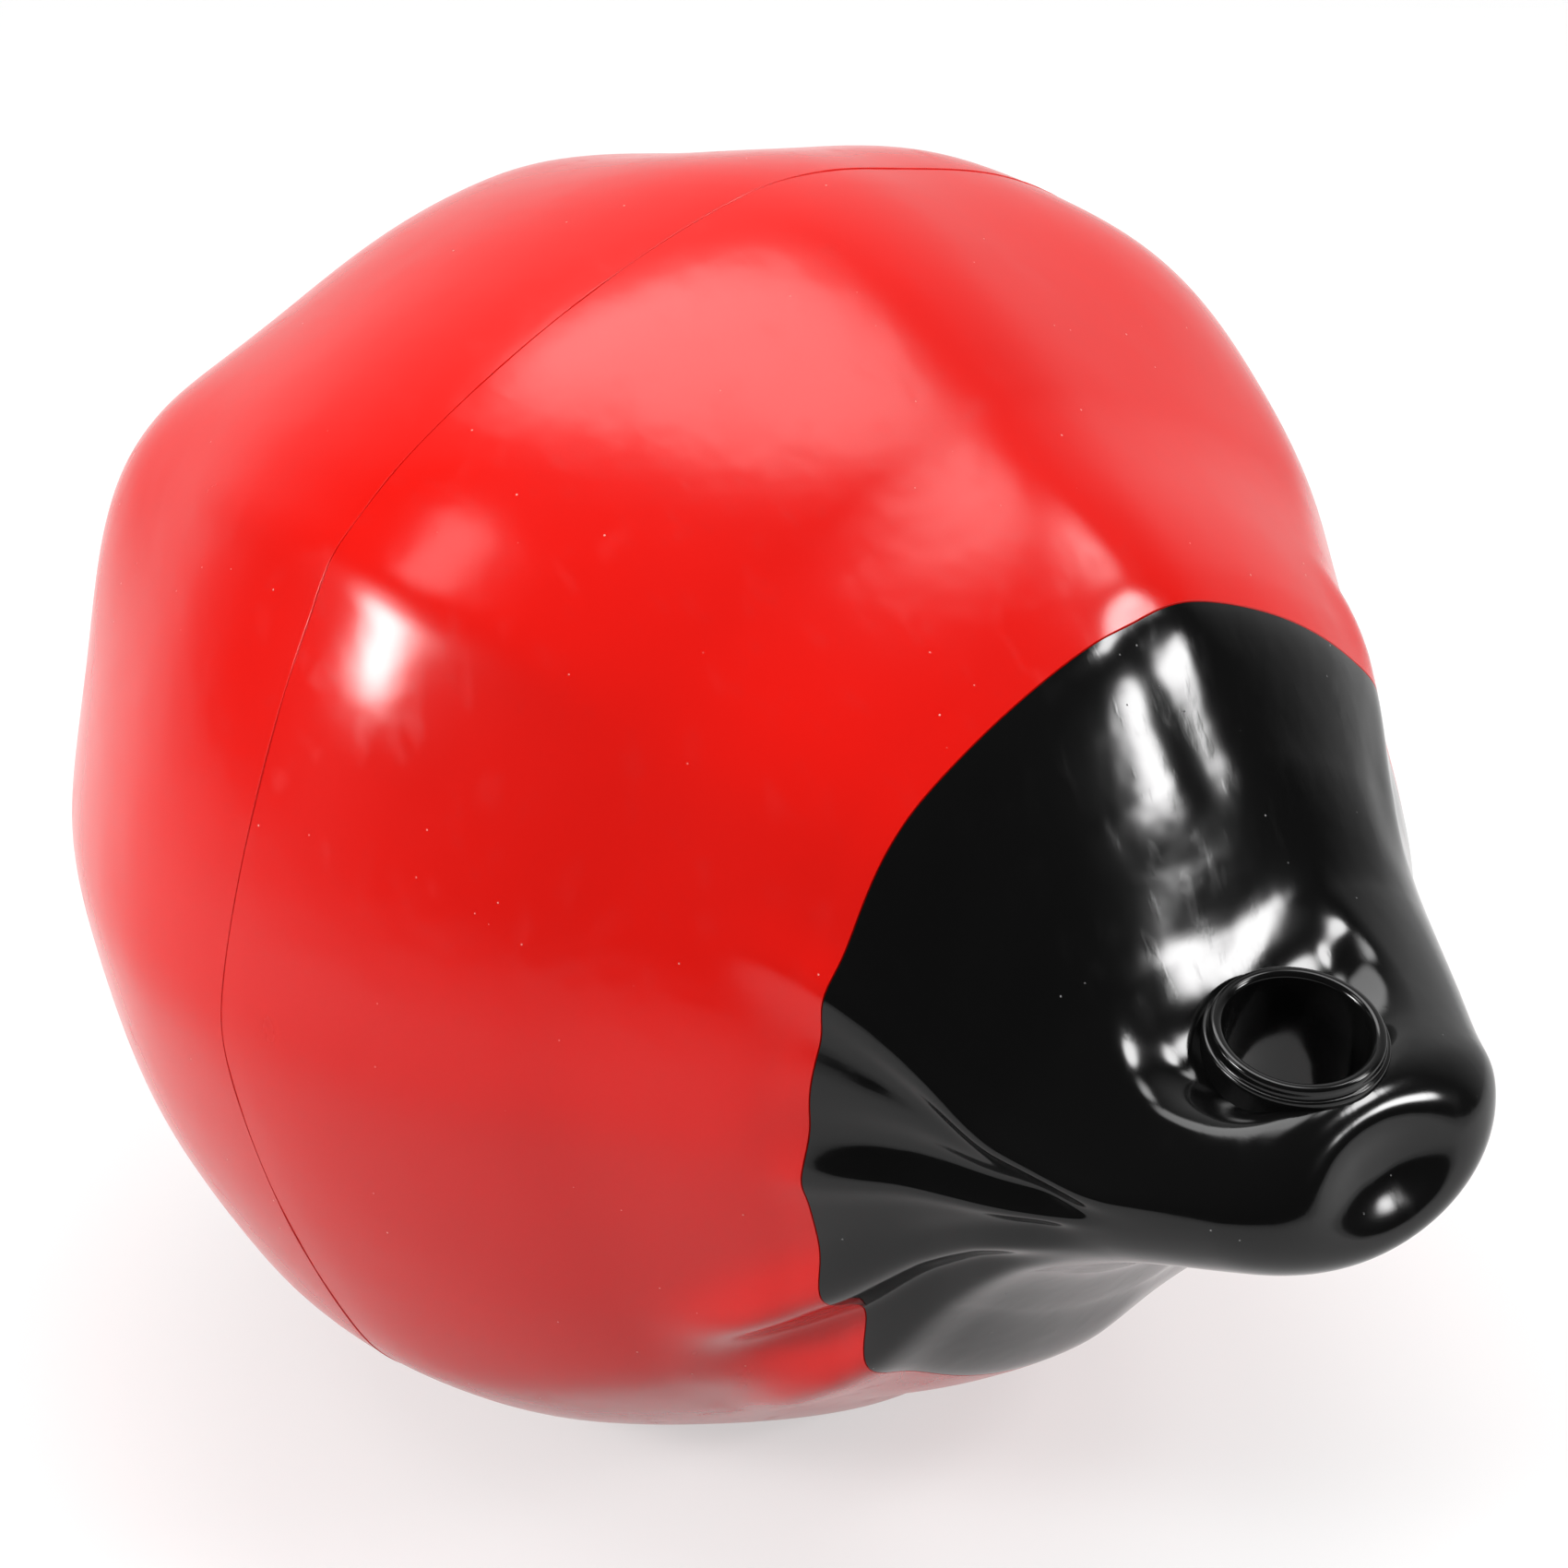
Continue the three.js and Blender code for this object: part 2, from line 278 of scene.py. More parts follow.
    def flat_share(self, angle: np.ndarray, flats: tuple[Flat, ...], softness: float) -> np.ndarray:
        """Share of the radius that a ring of flat faces leaves.

        Args:
            angle: the angles to work out, in degrees.
            flats: the faces.
            softness: how softly the corners between them turn.

        Returns:
            The share at each angle.
        """
        turns = [np.cos(np.radians(angle - flat.angle)) for flat in flats]
        shares = [flat.share / np.maximum(self.widest_flat, turn) for flat, turn in zip(flats, turns)]
        values = np.stack(shares + [np.full_like(angle, self.corner_share)])
        least = values.min(0)
        return least - softness * np.log(np.exp((least - values) / softness).sum(0))

    def slack_share(self, reach: np.ndarray, angle: np.ndarray) -> np.ndarray:
        """How far the slack skin stands out at a reach and an angle, as a share of the radius."""
        off_axis = np.degrees(np.arctan2(self.turned_radius(reach), reach))
        fluted = self.flute_strength * between(off_axis, self.flute_start, self.flute_stop)
        halved = self.half_strength * between(off_axis, self.half_start, self.half_stop)
        share = fluted * (self.flat_share(angle, self.flutes, self.flute_softness) - 1)
        share += halved * (self.flat_share(off_axis, self.halves, self.half_softness) - 1)
        out = direction(off_axis, angle)
        for swell in self.swells:
            middle = direction(np.float64(swell.off_axis), np.float64(swell.around))
            apart = np.degrees(np.arccos(np.clip(out @ middle, -1, 1)))
            share += swell.height * bell(apart / swell.spread)
        return share * smooth_step(-reach, -self.neck[0], -self.colour_reach)

    def crease_height(self, reach: np.ndarray, angle: np.ndarray, radius: np.ndarray) -> np.ndarray:
        """How far the creases lift or sink the skin."""
        height = np.zeros_like(reach)
        for crease in self.creases:
            along = (reach / self.radius - crease.start[0]) / (crease.stop[0] - crease.start[0])
            middle = crease.start[1] + (crease.stop[1] - crease.start[1]) * along
            apart = np.radians(angle - middle) * radius / self.radius
            fade = between(along, (0, self.crease_start), (self.crease_stop, 1))
            height += crease.height * fade * bell(apart / crease.half_width)
        return height * self.radius

    def basin(self, x: np.ndarray, wide: np.ndarray) -> np.ndarray:
        """Depth of the shallow hollow round the rope eye, with a steeper wall towards the ball."""
        along = (x - self.eye_reach + self.basin_setback) / self.basin_length
        eye_distance = np.hypot(along, wide / self.basin_width)
        wall_foot = self.eye_reach - self.basin_back
        wall = smooth_step(x, wall_foot, wall_foot + self.basin_wall)
        return self.basin_depth * (1 - smooth_step(eye_distance, self.basin_floor, self.basin_rim)) * wall

    def bend(self, points: np.ndarray) -> np.ndarray:
        """Sags and rolls the neck, and swings it aside.

        Args:
            points: places on the straight form.

        Returns:
            Their places on the bent one.
        """
        x, y, z = np.moveaxis(points, -1, 0)
        roll = math.radians(self.roll) * smooth_step(x, self.bend_reach, self.neck[0])
        past = np.maximum(0, x - self.bend_reach) / (self.end_reach - self.bend_reach)
        return np.stack([
            x,
            y * np.cos(roll) - z * np.sin(roll) + self.turn * np.sin(self.swing_share * math.pi * past),
            y * np.sin(roll) + z * np.cos(roll) - self.droop * past**self.droop_power,
        ], -1)

    def shape(self, points: np.ndarray) -> np.ndarray:
        """Moves points of the plain turned form to their places on the fender as it lies.

        Args:
            points: places on the turned form.

        Returns:
            Their places on the slack, flattened and bent form.
        """
        x, y, z = np.moveaxis(points, -1, 0)
        reach = np.minimum(x, self.tip[0])
        radius = np.maximum(1, self.turned_radius(reach))
        share = np.hypot(y, z) / radius
        angle = np.degrees(np.arctan2(-y, z))
        scale = 1 + self.slack_share(reach, angle) + self.crease_height(x, angle, radius) / radius
        beyond = np.maximum(reach, self.shoulder_reach)
        height = np.where(z > 0, self.through(2, beyond), self.through(3, beyond)) / radius
        height = np.where(x > self.shoulder_reach, height, 1)
        wide, high = y * scale, z * scale * height
        high = high - self.basin(x, wide) * np.minimum(1, share) * smooth_step(high, 0, self.neck[2] / 2)
        aside = (y - self.dimple_aside) / self.dimple_length
        dimple_distance = np.hypot(aside, (z * height - self.dimple_rise) / self.dimple_height)
        dent = self.dimple_depth * bell((2 * dimple_distance) ** self.dimple_sharpness)
        along = x - (dent + self.end_lean * high) * smooth_step(x, self.tip[0], self.end_reach)
        bent = self.bend(np.stack([along, wide, high], -1))
        soft = self.patch_softness
        bent[..., 2] = -self.rest_height + soft * np.logaddexp(0, (bent[..., 2] + self.rest_height) / soft)
        return bent

    def ring(self, reach: float, count: int) -> np.ndarray:
        """Points round the shaped skin at one reach."""
        radius = float(self.turned_radius(np.array([reach]))[0])
        return self.skin(np.array([[reach, radius]]), count)[0]

    def skin(self, profile: np.ndarray, columns: int) -> np.ndarray:
        """A grid of points on the shaped skin.

        Args:
            profile: rows of [reach, radius] on the turned form.
            columns: points round each row.

        Returns:
            The points, by row and column.
        """
        turn = np.linspace(0, 2 * math.pi, columns, endpoint=False)
        reach, radius = np.repeat(profile[:, :1], columns, 1), profile[:, 1:]
        return self.shape(np.stack([reach, -radius * np.sin(turn), radius * np.cos(turn)], -1))

    def to_frame(self, points: np.ndarray) -> np.ndarray:
        """Places in the frame, in metres, of points given from the middle of the ball."""
        return (points + [0, 0, self.rest_height]) * MM


def mesh_object(
    name: str,
    points: np.ndarray,
    faces: Sequence[tuple[int, ...]] = (),
    edges: Sequence[tuple[int, int]] = (),
) -> bpy.types.Object:
    """Makes a mesh object and links it to the scene.

    Args:
        name: name of the object and of its mesh.
        points: the corners, in metres.
        faces: corner numbers of each face.
        edges: corner numbers of each edge that has no face.

    Returns:
        The object, at the origin.
    """
    mesh = bpy.data.meshes.new(name)
    mesh.from_pydata(points.reshape(-1, 3).tolist(), edges, faces)
    mesh.update()
    made = bpy.data.objects.new(name, mesh)
    bpy.context.collection.objects.link(made)
    return made


def closed_rows(name: str, grid: np.ndarray) -> bpy.types.Object:
    """Makes a closed mesh from rows of points round an axis, with a fan at each end.

    Args:
        name: name of the object.
        grid: points by row and column, in metres. Rows run along the axis and columns turn from +Z
            to -Y.

    Returns:
        The object.
    """
    rows, columns = grid.shape[:2]
    number = np.arange(rows * columns).reshape(rows, columns)
    ahead = np.roll(number, -1, 1)
    quads = np.stack([number[:-1], ahead[:-1], ahead[1:], number[1:]], -1).reshape(-1, 4)
    first, last = rows * columns, rows * columns + 1
    points = np.concatenate([grid.reshape(-1, 3), grid[:1].mean(1), grid[-1:].mean(1)])
    faces = [tuple(quad) for quad in quads.tolist()]
    faces += [(first, int(b), int(a)) for a, b in zip(number[0], ahead[0])]
    faces += [(last, int(a), int(b)) for a, b in zip(number[-1], ahead[-1])]
    return mesh_object(name, points, faces)


def turned_solid(name: str, profile: np.ndarray, sides: int, place: Matrix) -> bpy.types.Object:
    """Turns a profile about the local X axis and sets it in its place.

    Args:
        name: name of the object.
        profile: rows of [radius, height] in millimetres, the ends on the axis left out.
        sides: how many sides the turned form has.
        place: where the axis stands, in millimetres from the middle of the ball.

    Returns:
        The object.
    """
    turn = np.linspace(0, 2 * math.pi, sides, endpoint=False)
    radius, height = profile[:, :1], np.repeat(profile[:, 1:], sides, 1)
    grid = np.stack([height, -radius * np.sin(turn), radius * np.cos(turn)], -1)
    matrix = np.array(place)
    placed = grid @ matrix[:3, :3].T + matrix[:3, 3]
    return closed_rows(name, FORM.to_frame(placed))


def rounded(profile: list[tuple[float, float]], radius: float, steps: int) -> np.ndarray:
    """Rounds the inner corners of a profile.

    Args:
        profile: the corners.
        radius: how far from each corner the rounding starts.
        steps: points on each rounding.

    Returns:
        The rounded profile.
    """
    points = [np.array(profile[0], float)]
    for before, corner, after in zip(profile, profile[1:], profile[2:]):
        p0, p1, p2 = (np.array(p, float) for p in (before, corner, after))
        reach0 = min(radius, np.linalg.norm(p0 - p1) / 2)
        reach1 = min(radius, np.linalg.norm(p2 - p1) / 2)
        start = p1 + (p0 - p1) / np.linalg.norm(p0 - p1) * reach0
        stop = p1 + (p2 - p1) / np.linalg.norm(p2 - p1) * reach1
        for t in np.linspace(0, 1, steps):
            points.append((1 - t) ** 2 * start + 2 * t * (1 - t) * p1 + t * t * stop)
    points.append(np.array(profile[-1], float))
    return np.array(points)


def join_or_cut(body: bpy.types.Object, tool: bpy.types.Object, cut: Cut) -> None:
    """Joins a tool to a body or cuts it away, and deletes the tool.

    Args:
        body: the object that is changed.
        tool: the other object.
        cut: whether the tool is joined or removed.
    """
    change = body.modifiers.new("change", "BOOLEAN")
    change.operation = cut.value
    change.solver = "MANIFOLD"
    change.object = tool
    bake(body)
    bpy.data.objects.remove(tool)


def bake(made: bpy.types.Object) -> None:
    """Turns an object with live modifiers into a plain mesh."""
    graph = bpy.context.evaluated_depsgraph_get()
    result = bpy.data.meshes.new_from_object(made.evaluated_get(graph))
    made.modifiers.clear()
    old = made.data
    made.data = result
    result.name = made.name
    bpy.data.meshes.remove(old)


def merge_close(made: bpy.types.Object, distance: float) -> None:
    """Joins the corners of a piece that lie within a distance, in metres, of each other."""
    form = bmesh.new()
    form.from_mesh(made.data)
    bmesh.ops.remove_doubles(form, verts=form.verts, dist=distance)
    form.to_mesh(made.data)
    form.free()


def shade(made: bpy.types.Object, shading: Shading) -> None:
    """Shades a piece smooth, with its sharp edges kept where it is creased."""
    made.data.shade_smooth()
    if shading is Shading.CREASED:
        made.data.set_sharp_from_angle(angle=SHARP_ANGLE)


def set_range(node: bpy.types.Node, low: float, high: float, to_low: float, to_high: float) -> None:
    """Sets the ends of a map range node."""
    for label, value in zip(("From Min", "From Max", "To Min", "To Max"), (low, high, to_low, to_high)):
        node.inputs[label].default_value = value


class NodeTree:
    """A short way to build a shader."""

    def __init__(self, name: str) -> None:
        """Starts a material with a principled shader."""
        self.material = bpy.data.materials.new(name)
        self.material.use_nodes = True
        self.nodes = self.material.node_tree.nodes
        self.links = self.material.node_tree.links
        self.shader = self.nodes["Principled BSDF"]
        self.place = self.add("ShaderNodeTexCoord").outputs["Object"]

    def add(self, kind: str, **settings: object) -> bpy.types.Node:
        """Adds a node and sets its properties and inputs.

        Args:
            kind: the node's type.
            **settings: a property by its name, or an input by its name with spaces as underscores.

        Returns:
            The node.
        """
        node = self.nodes.new(kind)
        for key, value in settings.items():
            if hasattr(node, key):
                setattr(node, key, value)
            else:
                self.put(node.inputs[key.replace("_", " ")], value)
        return node

    def noise(
        self, scale: float, detail: float, stretch: tuple[float, float, float] = (1, 1, 1)
    ) -> bpy.types.NodeSocket:
        """Noise on the piece's own coordinates.

        Args:
            scale: waves a metre.
            detail: how fine it gets.
            stretch: scale along X, Y and Z.

        Returns:
            The socket that gives it.
        """
        mapping = self.add("ShaderNodeMapping", Vector=self.place, Scale=stretch)
        waves = self.add("ShaderNodeTexNoise", Vector=mapping.outputs[0], Scale=scale, Detail=detail)
        return waves.outputs["Fac"]

    def ramp(
        self, value: bpy.types.NodeSocket, low: float, high: float, to_low: float = 0, to_high: float = 1
    ) -> bpy.types.NodeSocket:
        """A straight ramp between two values, held at its ends."""
        node = self.add("ShaderNodeMapRange", Value=value)
        set_range(node, low, high, to_low, to_high)
        return node.outputs["Result"]

    def put(self, socket: bpy.types.NodeSocket, value: object) -> None:
        """Links a socket to another, or sets its plain value."""
        if isinstance(value, bpy.types.NodeSocket):
            self.links.new(value, socket)
        else:
            socket.default_value = value

    def sums(self, operation: str, first: object, second: object) -> bpy.types.NodeSocket:
        """Works on two values, each a number or a socket."""
        node = self.add("ShaderNodeMath", operation=operation)
        self.put(node.inputs[0], first)
        self.put(node.inputs[1], second)
        return node.outputs[0]

    def plus(self, first: object, second: object) -> bpy.types.NodeSocket:
        """The sum of two values."""
        return self.sums("ADD", first, second)

    def times(self, first: object, second: object) -> bpy.types.NodeSocket:
        """The product of two values."""
        return self.sums("MULTIPLY", first, second)

    def mix(self, share: bpy.types.NodeSocket, first: object, second: object) -> bpy.types.NodeSocket:
        """Mixes two colours, each a colour or a socket."""
        node = self.add("ShaderNodeMix", data_type="RGBA")
        self.links.new(share, node.inputs["Factor"])
        for socket, value in zip([s for s in node.inputs if s.type == "RGBA"], (first, second)):
            self.put(socket, value if isinstance(value, bpy.types.NodeSocket) else (*value, 1))
        return node.outputs["Result"]

    def specks(self, scale: float, size: float) -> bpy.types.NodeSocket:
        """Small round specks of dust, 1 on a speck and 0 between them."""
        cells = self.add("ShaderNodeTexVoronoi", Vector=self.place, Scale=scale)
        return self.ramp(cells.outputs["Distance"], size, size * 0.6)

    def bump(self, height: bpy.types.NodeSocket, distance: float) -> None:
        """Sets the surface's fine relief, its height in metres at 1."""
        node = self.add("ShaderNodeBump", Height=height, Distance=distance)
        self.links.new(node.outputs[0], self.shader.inputs["Normal"])

    def feed(self, label: str, value: object) -> None:
        """Sets an input of the shader to a socket or a number."""
        self.put(self.shader.inputs[label], value)


@dataclass(frozen=True)
class SoftVinyl:
    """Glossy moulded vinyl: even colour with faint clouding, a slight orange-peel, scuffs and dust."""

    name: str
    colour: tuple[float, float, float]
    clouded: tuple[float, float, float]
    dust: tuple[float, float, float]
    gloss: float
    scuffed: float
    refraction: float = 1.39
    relief: float = 0.0006

    def make(self) -> bpy.types.Material:
        """Builds the material."""
        tree = NodeTree(self.name)
        cloud = tree.ramp(tree.noise(9, 3), 0.35, 0.68)
        dust = tree.times(tree.specks(170, 0.045), tree.ramp(tree.noise(38, 2), 0.5, 0.6))
        colour = tree.mix(cloud, self.colour, self.clouded)
        tree.feed("Base Color", tree.mix(tree.times(dust, 0.7), colour, self.dust))
        scuffs = tree.ramp(tree.noise(120, 6, (1, 1.6, 0.5)), 0.56, 0.74)
        rough = tree.ramp(cloud, 0, 1, self.gloss, self.gloss * 1.25)
        rough = tree.plus(rough, tree.times(scuffs, self.scuffed))
        tree.feed("Roughness", tree.plus(rough, tree.times(dust, 0.4)))
        tree.feed("IOR", self.refraction)
        peel = tree.times(tree.noise(55, 2), 0.35)
        height = tree.plus(peel, tree.times(scuffs, 0.02))
        tree.bump(tree.plus(height, tree.times(dust, 0.15)), self.relief)
        return tree.material


@dataclass(frozen=True)
class ValveRubber:
    """Matt black rubber with a fine grain."""

    name: str = "valve_rubber"
    colour: tuple[float, float, float] = (0.012, 0.012, 0.012)
    worn: tuple[float, float, float] = (0.02, 0.02, 0.02)
    relief: float = 0.00008

    def make(self) -> bpy.types.Material:
        """Builds the material."""
        tree = NodeTree(self.name)
        grain = tree.noise(2600, 4)
        tree.feed("Base Color", tree.mix(grain, self.colour, self.worn))
        tree.feed("Roughness", tree.ramp(grain, 0.3, 0.7, 0.55, 0.75))
        tree.bump(grain, self.relief)
        return tree.material


FORM = SlackForm()
RED_VINYL = SoftVinyl(
    name="red_vinyl",
    colour=(0.56, 0.0045, 0.002),
    clouded=(0.51, 0.0035, 0.0015),
    dust=(0.85, 0.35, 0.3),
    gloss=0.17,
    scuffed=0.07,
)
BLACK_VINYL = SoftVinyl(
    name="black_vinyl",
    colour=(0.003, 0.003, 0.003),
    clouded=(0.004, 0.004, 0.004),
    dust=(0.3, 0.3, 0.3),
    gloss=0.11,
    scuffed=0.06,
)


def dress(made: bpy.types.Object, material: bpy.types.Material, slot: str, *nodes: str) -> None:
    """Gives a piece its material, hangs it under the root and hides the solids that it stands for.

    Args:
        made: the piece.
        material: its material.
        slot: not used.
        *nodes: the solids that it stands for.
    """
    made.data.materials.clear()
    made.data.materials.append(material)
    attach(made, "root")
    if nodes:
        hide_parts(*nodes)
    LOG.info("%s: %d faces", made.name, len(made.data.polygons))


@dataclass
class RedBall:
    """The soft ball, up to the colour border, and the mould line round it: sizes in millimetres."""

    form: SlackForm
    columns: int = 420
    rows: int = 200
    border_gap: float = 0.15
    line_reach: float = 13.0
    line_radius: float = 0.2
    line_clearance: float = 0.3
    line_swing: tuple[float, float] = (0.5, 1.4)
    line_points: int = 900
    line_sides: int = 8

    def profile(self) -> np.ndarray:
        """Rows of [reach, radius] from the back of the ball to the colour border."""
        form = self.form
        angle = np.linspace(math.pi, form.shoulder_angle, self.rows)[1:]
        ball = np.stack([np.cos(angle), np.sin(angle)], -1) * form.radius
        reach = np.linspace(form.shoulder_reach, form.colour_reach - self.border_gap, self.rows // 5)[1:]
        return np.concatenate([ball, np.stack([reach, form.turned_radius(reach)], -1)])

    def make_skin(self) -> bpy.types.Object:
        """Builds the ball's skin, closed at the border."""
        made = closed_rows("ball_skin", self.form.to_frame(self.form.skin(self.profile(), self.columns)))
        shade(made, Shading.CREASED)
        return made

    def make_line(self, material: bpy.types.Material) -> bpy.types.Object:
        """Builds the fine bead of the mould line, swept round the ball by geometry nodes.

        Args:
            material: the bead's material.

        Returns:
            The bead, as a plain mesh.
        """
        path = self.form.to_frame(self.form.ring(self.line_reach, self.line_points))
        path[:, 2] = np.maximum(path[:, 2], self.line_clearance * MM)
        edges = [(i, (i + 1) % self.line_points) for i in range(self.line_points)]
        made = mesh_object("mould_line", path, edges=edges)
        tree = self.sweep_tree()
        sockets = {socket.name: socket.identifier for socket in tree.interface.items_tree}
        bead = made.modifiers.new("bead", "NODES")
        bead.node_group = tree
        bead[sockets["Bead radius"]] = self.line_radius * MM
        bead[sockets["Finish"]] = material
        bake(made)
        shade(made, Shading.SMOOTH)
        return made

    def sweep_tree(self) -> bpy.types.NodeTree:
        """Builds the geometry nodes that sweep a bead of slightly uneven thickness along a line.

        Returns:
            The nodes, with the line, the bead's radius and its finish as inputs.
        """
        tree = bpy.data.node_groups.new("mould_line_sweep", "GeometryNodeTree")
        for name, side, kind in (
            ("Geometry", "INPUT", "Geometry"),
            ("Bead radius", "INPUT", "Float"),
            ("Finish", "INPUT", "Material"),
            ("Geometry", "OUTPUT", "Geometry"),
        ):
            tree.interface.new_socket(name, in_out=side, socket_type=f"NodeSocket{kind}")
        nodes, links = tree.nodes, tree.links
        start, end = nodes.new("NodeGroupInput"), nodes.new("NodeGroupOutput")
        curve, sweep = nodes.new("GeometryNodeMeshToCurve"), nodes.new("GeometryNodeCurveToMesh")
        uneven, swing = nodes.new("ShaderNodeTexNoise"), nodes.new("ShaderNodeMapRange")
        size, circle = nodes.new("ShaderNodeMath"), nodes.new("GeometryNodeCurvePrimitiveCircle")
        coat = nodes.new("GeometryNodeSetMaterial")
        uneven.inputs["Scale"].default_value = 55
        uneven.inputs["Detail"].default_value = 4
        set_range(swing, 0.3, 0.7, *self.line_swing)
        size.operation = "MULTIPLY"
        circle.inputs["Resolution"].default_value = self.line_sides
        circle.inputs["Radius"].default_value = 1
        links.new(start.outputs["Geometry"], curve.inputs["Mesh"])
        links.new(uneven.outputs["Fac"], swing.inputs["Value"])
        links.new(swing.outputs["Result"], size.inputs[0])
        links.new(start.outputs["Bead radius"], size.inputs[1])
        links.new(curve.outputs["Curve"], sweep.inputs["Curve"])
        links.new(circle.outputs["Curve"], sweep.inputs["Profile Curve"])
        links.new(size.outputs[0], sweep.inputs["Scale"])
        links.new(sweep.outputs["Mesh"], coat.inputs["Geometry"])
        links.new(start.outputs["Finish"], coat.inputs["Material"])
        links.new(coat.outputs["Geometry"], end.inputs["Geometry"])
        return tree


@dataclass
class RopeHold:
    """The black neck with its rope eye and the pocket of the air valve.

    Sizes are in millimetres and angles in degrees. The end closes from the last station of the neck
    to the axis; its power and fullness set how square that end is.
    """

    form: SlackForm
    columns: int = 420
    neck_rows: int = 130
    end_rows: int = 46
    end_power: float = 0.6
    end_turn: float = 0.9
    end_fullness: float = 0.8
    end_middle: float = 0.01
    border_gap: float = 0.15
    eye_radius: float = 15.5
    eye_lean: float = 14.0
    eye_roll: float = 6.0
    lip_width: float = 3.0
    lip_top: float = 23.5
    lip_under: float = 22.0
    lip_rise: float = 2.6
    flange_width: float = 1.2
    corner_round: float = 1.3
    corner_steps: int = 7
    rim_round: float = 1.6
    hole_reach: float = 50.0
    eye_sides: int = 160
    valve_reach: float = 148.0
    valve_angle: float = -112.0
    valve_radius: float = 5.3
    valve_depth: float = 9.3
    valve_sides: int = 64
    skin_step: float = 2.0

    def profile(self) -> np.ndarray:
        """Rows of [reach, radius] from the colour border to the end of the neck."""
        form = self.form
        tip_reach, tip_width = form.tip[0], form.tip[1]
        reach = np.linspace(form.colour_reach + self.border_gap, tip_reach, self.neck_rows)
        neck = np.stack([reach, form.turned_radius(reach)], -1)
        outer = np.cos(np.linspace(0, self.end_turn, self.end_rows // 2)[1:]) ** self.end_power
        inner = np.linspace(outer[-1], self.end_middle, self.end_rows // 2)[1:]
        share = np.concatenate([outer, inner])
        along = np.sin(np.arccos(share ** (1 / self.end_power))) ** self.end_fullness
        width = tip_width * share * (1 - form.end_taper * along)
        end = np.stack([tip_reach + (form.end_reach - tip_reach) * along, width], -1)
        return np.concatenate([neck, end])

    def eye_place(self) -> Matrix:
        """Where the axis of the rope eye stands, in millimetres from the middle of the ball."""
        axis = Vector(direction(np.float64(90 - self.eye_lean), np.float64(self.eye_roll)))
        middle = Vector(self.form.bend(np.array([self.form.eye_reach, 0.0, 0.0])))
        return Matrix.Translation(middle) @ turn_towards(axis)

    def make_collar(self) -> bpy.types.Object:
        """Builds the raised lip on its low flange, above and below."""
        lip = self.eye_radius + self.lip_width
        flange = lip + self.flange_width
        profile = [
            (0.5, -self.lip_under),
            (lip, -self.lip_under),
            (lip, -self.lip_under + self.lip_rise),
            (flange, -self.lip_under + self.lip_rise),
            (flange, self.lip_top - self.lip_rise),
            (lip, self.lip_top - self.lip_rise),
            (lip, self.lip_top),
            (0.5, self.lip_top),
        ]
        soft = rounded(profile, self.corner_round, self.corner_steps)
        return turned_solid("eye_collar", soft, self.eye_sides, self.eye_place())

    def make_hole(self) -> bpy.types.Object:
        """Builds the rope's hole, with both rims rounded."""
        rim, clear = self.rim_round, self.hole_reach
        wide, foot = self.eye_radius + rim, self.lip_top - rim
        turn = np.linspace(0, math.pi / 2, 9)
        upper = [(wide - rim * math.cos(t), foot + rim * math.sin(t)) for t in turn]
        lower = [(radius, self.lip_top - self.lip_under - height) for radius, height in reversed(upper)]
        profile = [(0.5, -clear), (wide, -clear), *lower, *upper, (wide, clear), (0.5, clear)]
        return turned_solid("eye_hole", np.array(profile), self.eye_sides, self.eye_place())

    def make_pocket(self) -> bpy.types.Object:
        """Builds the pocket that the air valve sits in."""
        place = self.skin_place(self.valve_reach, self.valve_angle)
        profile = [
            (0.1, -self.valve_depth),
            (self.valve_radius, -self.valve_depth),
            (self.valve_radius, self.valve_depth),
            (0.1, self.valve_depth),
        ]
        return turned_solid("valve_pocket", np.array(profile), self.valve_sides, place)

    def skin_place(self, reach: float, angle: float) -> Matrix:
        """A place on the skin with its local X axis pointing out.

        Args:
            reach: distance along the axis.
            angle: angle round it, in degrees.

        Returns:
            The place, in millimetres from the middle of the ball.
        """
        points = []
        for ahead, aside in ((1, 0), (-1, 0), (0, 1), (0, -1), (0, 0)):
            along, around = reach + ahead * self.skin_step, angle + aside * self.skin_step
            radius, turn = float(self.form.turned_radius(np.array([along]))[0]), math.radians(around)
            plain = np.array([along, -radius * math.sin(turn), radius * math.cos(turn)])
            points.append(Vector(self.form.shape(plain)))
        out = (points[2] - points[3]).cross(points[0] - points[1]).normalized()
        return Matrix.Translation(points[4]) @ turn_towards(out)

    def make(self) -> bpy.types.Object:
        """Builds the neck with its eye and pocket cut."""
        made = closed_rows("rope_neck", self.form.to_frame(self.form.skin(self.profile(), self.columns)))
        join_or_cut(made, self.make_collar(), Cut.JOIN)
        join_or_cut(made, self.make_hole(), Cut.REMOVE)
        join_or_cut(made, self.make_pocket(), Cut.REMOVE)
        merge_close(made, MERGE_DISTANCE)
        shade(made, Shading.CREASED)
        return made


